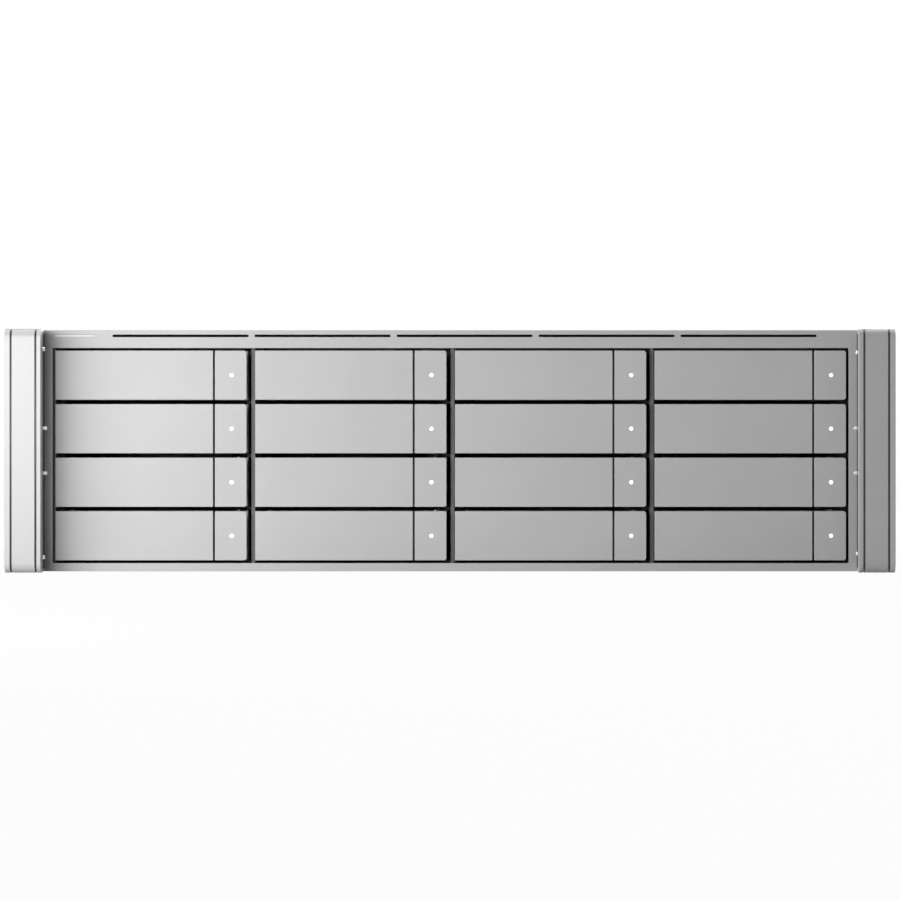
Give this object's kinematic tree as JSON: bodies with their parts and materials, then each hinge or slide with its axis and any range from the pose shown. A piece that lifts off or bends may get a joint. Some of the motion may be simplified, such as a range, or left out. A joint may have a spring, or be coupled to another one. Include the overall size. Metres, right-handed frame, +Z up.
{
  "type": "disk shelf enclosure",
  "caption": "Rack-mount disk shelf with a grid of latched drive carriers behind an open front frame, grooved ear caps, a midplane and plug-in power and I/O modules at the rear.",
  "frame": {"origin": "middle of the enclosure's width, on its underside, in the plane where the rack flanges meet the rack posts", "axes": "+X to the right seen from the front, +Y to the rear along the depth, +Z up"},
  "size_m": [0.4826, 0.5425, 0.1324],
  "materials": {
    "satin_aluminium": "fine bead-blasted and clear anodised, satin",
    "silver_plastic": "moulded cap with a smooth silver coating",
    "zinc_steel": "zinc-plated sheet steel",
    "dark_steel": "dark grey powder coat on sheet steel",
    "black_plastic": "moulded black plastic",
    "board": "green solder resist on a circuit board",
    "clear_lens": "milky light pipe"
  },
  "bodies": {
    "chassis": {"chassis_pan": "zinc_steel", "top_cover": "zinc_steel", "front_frame": "satin_aluminium", "status_light_bar": "clear_lens", "bay_dividers": "dark_steel", "guide_rails": "black_plastic", "midplane": "board", "midplane_sockets": "black_plastic", "module_walls": "zinc_steel", "rack_bracket_left": "dark_steel", "rack_bracket_right": "dark_steel", "bezel_pins": "zinc_steel", "bracket_screws": "zinc_steel", "cover_screws": "zinc_steel"},
    "carrier_r1c1": {"carrier_r1c1": "satin_aluminium"},
    "latch_r1c1": {"latch_r1c1": "satin_aluminium"},
    "carrier_r1c2": {"carrier_r1c2": "satin_aluminium"},
    "latch_r1c2": {"latch_r1c2": "satin_aluminium"},
    "carrier_r1c3": {"carrier_r1c3": "satin_aluminium"},
    "latch_r1c3": {"latch_r1c3": "satin_aluminium"},
    "carrier_r1c4": {"carrier_r1c4": "satin_aluminium"},
    "latch_r1c4": {"latch_r1c4": "satin_aluminium"},
    "carrier_r2c1": {"carrier_r2c1": "satin_aluminium"},
    "latch_r2c1": {"latch_r2c1": "satin_aluminium"},
    "carrier_r2c2": {"carrier_r2c2": "satin_aluminium"},
    "latch_r2c2": {"latch_r2c2": "satin_aluminium"},
    "carrier_r2c3": {"carrier_r2c3": "satin_aluminium"},
    "latch_r2c3": {"latch_r2c3": "satin_aluminium"},
    "carrier_r2c4": {"carrier_r2c4": "satin_aluminium"},
    "latch_r2c4": {"latch_r2c4": "satin_aluminium"},
    "carrier_r3c1": {"carrier_r3c1": "satin_aluminium"},
    "latch_r3c1": {"latch_r3c1": "satin_aluminium"},
    "carrier_r3c2": {"carrier_r3c2": "satin_aluminium"},
    "latch_r3c2": {"latch_r3c2": "satin_aluminium"},
    "carrier_r3c3": {"carrier_r3c3": "satin_aluminium"},
    "latch_r3c3": {"latch_r3c3": "satin_aluminium"},
    "carrier_r3c4": {"carrier_r3c4": "satin_aluminium"},
    "latch_r3c4": {"latch_r3c4": "satin_aluminium"},
    "carrier_r4c1": {"carrier_r4c1": "satin_aluminium"},
    "latch_r4c1": {"latch_r4c1": "satin_aluminium"},
    "carrier_r4c2": {"carrier_r4c2": "satin_aluminium"},
    "latch_r4c2": {"latch_r4c2": "satin_aluminium"},
    "carrier_r4c3": {"carrier_r4c3": "satin_aluminium"},
    "latch_r4c3": {"latch_r4c3": "satin_aluminium"},
    "carrier_r4c4": {"carrier_r4c4": "satin_aluminium"},
    "latch_r4c4": {"latch_r4c4": "satin_aluminium"},
    "ear_cap_left": {"ear_cap_left": "silver_plastic"},
    "ear_cap_right": {"ear_cap_right": "silver_plastic"},
    "psu_left": {"psu_left": "zinc_steel"},
    "psu_left_fan": {"psu_left_fan": "black_plastic"},
    "psu_left_handle": {"psu_left_handle": "black_plastic"},
    "psu_left_switch": {"psu_left_switch": "black_plastic"},
    "psu_right": {"psu_right": "zinc_steel"},
    "psu_right_fan": {"psu_right_fan": "black_plastic"},
    "psu_right_handle": {"psu_right_handle": "black_plastic"},
    "psu_right_switch": {"psu_right_switch": "black_plastic"},
    "io_lower": {"io_lower": "zinc_steel"},
    "io_lower_lever": {"io_lower_lever": "black_plastic"},
    "io_upper": {"io_upper": "zinc_steel"},
    "io_upper_lever": {"io_upper_lever": "black_plastic"}
  },
  "joints": [
    {"name": "carrier_slide_r1c1", "type": "slide", "parent": "chassis", "child": "carrier_r1c1", "axis": [0, -1, 0], "range_m": [0, 0.175]},
    {"name": "latch_hinge_r1c1", "type": "hinge", "parent": "carrier_r1c1", "child": "latch_r1c1", "pos_m": [-0.11805, 0.0007, 0.1077], "axis": [0, 0, 1], "range_deg": [0, 60]},
    {"name": "carrier_slide_r1c2", "type": "slide", "parent": "chassis", "child": "carrier_r1c2", "axis": [0, -1, 0], "range_m": [0, 0.175]},
    {"name": "latch_hinge_r1c2", "type": "hinge", "parent": "carrier_r1c2", "child": "latch_r1c2", "pos_m": [-0.00835, 0.0007, 0.1077], "axis": [0, 0, 1], "range_deg": [0, 60]},
    {"name": "carrier_slide_r1c3", "type": "slide", "parent": "chassis", "child": "carrier_r1c3", "axis": [0, -1, 0], "range_m": [0, 0.175]},
    {"name": "latch_hinge_r1c3", "type": "hinge", "parent": "carrier_r1c3", "child": "latch_r1c3", "pos_m": [0.10135, 0.0007, 0.1077], "axis": [0, 0, 1], "range_deg": [0, 60]},
    {"name": "carrier_slide_r1c4", "type": "slide", "parent": "chassis", "child": "carrier_r1c4", "axis": [0, -1, 0], "range_m": [0, 0.175]},
    {"name": "latch_hinge_r1c4", "type": "hinge", "parent": "carrier_r1c4", "child": "latch_r1c4", "pos_m": [0.21105, 0.0007, 0.1077], "axis": [0, 0, 1], "range_deg": [0, 60]},
    {"name": "carrier_slide_r2c1", "type": "slide", "parent": "chassis", "child": "carrier_r2c1", "axis": [0, -1, 0], "range_m": [0, 0.175]},
    {"name": "latch_hinge_r2c1", "type": "hinge", "parent": "carrier_r2c1", "child": "latch_r2c1", "pos_m": [-0.11805, 0.0007, 0.0783], "axis": [0, 0, 1], "range_deg": [0, 60]},
    {"name": "carrier_slide_r2c2", "type": "slide", "parent": "chassis", "child": "carrier_r2c2", "axis": [0, -1, 0], "range_m": [0, 0.175]},
    {"name": "latch_hinge_r2c2", "type": "hinge", "parent": "carrier_r2c2", "child": "latch_r2c2", "pos_m": [-0.00835, 0.0007, 0.0783], "axis": [0, 0, 1], "range_deg": [0, 60]},
    {"name": "carrier_slide_r2c3", "type": "slide", "parent": "chassis", "child": "carrier_r2c3", "axis": [0, -1, 0], "range_m": [0, 0.175]},
    {"name": "latch_hinge_r2c3", "type": "hinge", "parent": "carrier_r2c3", "child": "latch_r2c3", "pos_m": [0.10135, 0.0007, 0.0783], "axis": [0, 0, 1], "range_deg": [0, 60]},
    {"name": "carrier_slide_r2c4", "type": "slide", "parent": "chassis", "child": "carrier_r2c4", "axis": [0, -1, 0], "range_m": [0, 0.175]},
    {"name": "latch_hinge_r2c4", "type": "hinge", "parent": "carrier_r2c4", "child": "latch_r2c4", "pos_m": [0.21105, 0.0007, 0.0783], "axis": [0, 0, 1], "range_deg": [0, 60]},
    {"name": "carrier_slide_r3c1", "type": "slide", "parent": "chassis", "child": "carrier_r3c1", "axis": [0, -1, 0], "range_m": [0, 0.175]},
    {"name": "latch_hinge_r3c1", "type": "hinge", "parent": "carrier_r3c1", "child": "latch_r3c1", "pos_m": [-0.11805, 0.0007, 0.0489], "axis": [0, 0, 1], "range_deg": [0, 60]},
    {"name": "carrier_slide_r3c2", "type": "slide", "parent": "chassis", "child": "carrier_r3c2", "axis": [0, -1, 0], "range_m": [0, 0.175]},
    {"name": "latch_hinge_r3c2", "type": "hinge", "parent": "carrier_r3c2", "child": "latch_r3c2", "pos_m": [-0.00835, 0.0007, 0.0489], "axis": [0, 0, 1], "range_deg": [0, 60]},
    {"name": "carrier_slide_r3c3", "type": "slide", "parent": "chassis", "child": "carrier_r3c3", "axis": [0, -1, 0], "range_m": [0, 0.175]},
    {"name": "latch_hinge_r3c3", "type": "hinge", "parent": "carrier_r3c3", "child": "latch_r3c3", "pos_m": [0.10135, 0.0007, 0.0489], "axis": [0, 0, 1], "range_deg": [0, 60]},
    {"name": "carrier_slide_r3c4", "type": "slide", "parent": "chassis", "child": "carrier_r3c4", "axis": [0, -1, 0], "range_m": [0, 0.175]},
    {"name": "latch_hinge_r3c4", "type": "hinge", "parent": "carrier_r3c4", "child": "latch_r3c4", "pos_m": [0.21105, 0.0007, 0.0489], "axis": [0, 0, 1], "range_deg": [0, 60]},
    {"name": "carrier_slide_r4c1", "type": "slide", "parent": "chassis", "child": "carrier_r4c1", "axis": [0, -1, 0], "range_m": [0, 0.175]},
    {"name": "latch_hinge_r4c1", "type": "hinge", "parent": "carrier_r4c1", "child": "latch_r4c1", "pos_m": [-0.11805, 0.0007, 0.0195], "axis": [0, 0, 1], "range_deg": [0, 60]},
    {"name": "carrier_slide_r4c2", "type": "slide", "parent": "chassis", "child": "carrier_r4c2", "axis": [0, -1, 0], "range_m": [0, 0.175]},
    {"name": "latch_hinge_r4c2", "type": "hinge", "parent": "carrier_r4c2", "child": "latch_r4c2", "pos_m": [-0.00835, 0.0007, 0.0195], "axis": [0, 0, 1], "range_deg": [0, 60]},
    {"name": "carrier_slide_r4c3", "type": "slide", "parent": "chassis", "child": "carrier_r4c3", "axis": [0, -1, 0], "range_m": [0, 0.175]},
    {"name": "latch_hinge_r4c3", "type": "hinge", "parent": "carrier_r4c3", "child": "latch_r4c3", "pos_m": [0.10135, 0.0007, 0.0195], "axis": [0, 0, 1], "range_deg": [0, 60]},
    {"name": "carrier_slide_r4c4", "type": "slide", "parent": "chassis", "child": "carrier_r4c4", "axis": [0, -1, 0], "range_m": [0, 0.175]},
    {"name": "latch_hinge_r4c4", "type": "hinge", "parent": "carrier_r4c4", "child": "latch_r4c4", "pos_m": [0.21105, 0.0007, 0.0195], "axis": [0, 0, 1], "range_deg": [0, 60]},
    {"name": "ear_cap_pull_left", "type": "slide", "parent": "chassis", "child": "ear_cap_left", "axis": [0, -1, 0], "range_m": [0, 0.03]},
    {"name": "ear_cap_pull_right", "type": "slide", "parent": "chassis", "child": "ear_cap_right", "axis": [0, -1, 0], "range_m": [0, 0.03]},
    {"name": "psu_left_slide", "type": "slide", "parent": "chassis", "child": "psu_left", "axis": [0, 1, 0], "range_m": [0, 0.31]},
    {"name": "psu_left_fan_spin", "type": "hinge", "parent": "psu_left", "child": "psu_left_fan", "pos_m": [-0.1624, 0.487, 0.0805], "axis": [0, 1, 0], "continuous": true},
    {"name": "psu_left_handle_hinge", "type": "hinge", "parent": "psu_left", "child": "psu_left_handle", "pos_m": [-0.2099, 0.503, 0.0115], "axis": [-1, 0, 0], "range_deg": [0, 80]},
    {"name": "psu_left_switch_rock", "type": "hinge", "parent": "psu_left", "child": "psu_left_switch", "pos_m": [-0.1384, 0.496, 0.0215], "axis": [1, 0, 0], "range_deg": [0, 12]},
    {"name": "psu_right_slide", "type": "slide", "parent": "chassis", "child": "psu_right", "axis": [0, 1, 0], "range_m": [0, 0.31]},
    {"name": "psu_right_fan_spin", "type": "hinge", "parent": "psu_right", "child": "psu_right_fan", "pos_m": [0.1744, 0.487, 0.0805], "axis": [0, 1, 0], "continuous": true},
    {"name": "psu_right_handle_hinge", "type": "hinge", "parent": "psu_right", "child": "psu_right_handle", "pos_m": [0.1269, 0.503, 0.0115], "axis": [-1, 0, 0], "range_deg": [0, 80]},
    {"name": "psu_right_switch_rock", "type": "hinge", "parent": "psu_right", "child": "psu_right_switch", "pos_m": [0.1984, 0.496, 0.0215], "axis": [1, 0, 0], "range_deg": [0, 12]},
    {"name": "io_lower_slide", "type": "slide", "parent": "chassis", "child": "io_lower", "axis": [0, 1, 0], "range_m": [0, 0.31]},
    {"name": "io_lower_lever_hinge", "type": "hinge", "parent": "io_lower", "child": "io_lower_lever", "pos_m": [0.1, 0.503, 0.0135], "axis": [0, 0, -1], "range_deg": [0, 75]},
    {"name": "io_upper_slide", "type": "slide", "parent": "chassis", "child": "io_upper", "axis": [0, 1, 0], "range_m": [0, 0.31]},
    {"name": "io_upper_lever_hinge", "type": "hinge", "parent": "io_upper", "child": "io_upper_lever", "pos_m": [0.1, 0.503, 0.0793], "axis": [0, 0, -1], "range_deg": [0, 75]}
  ]
}
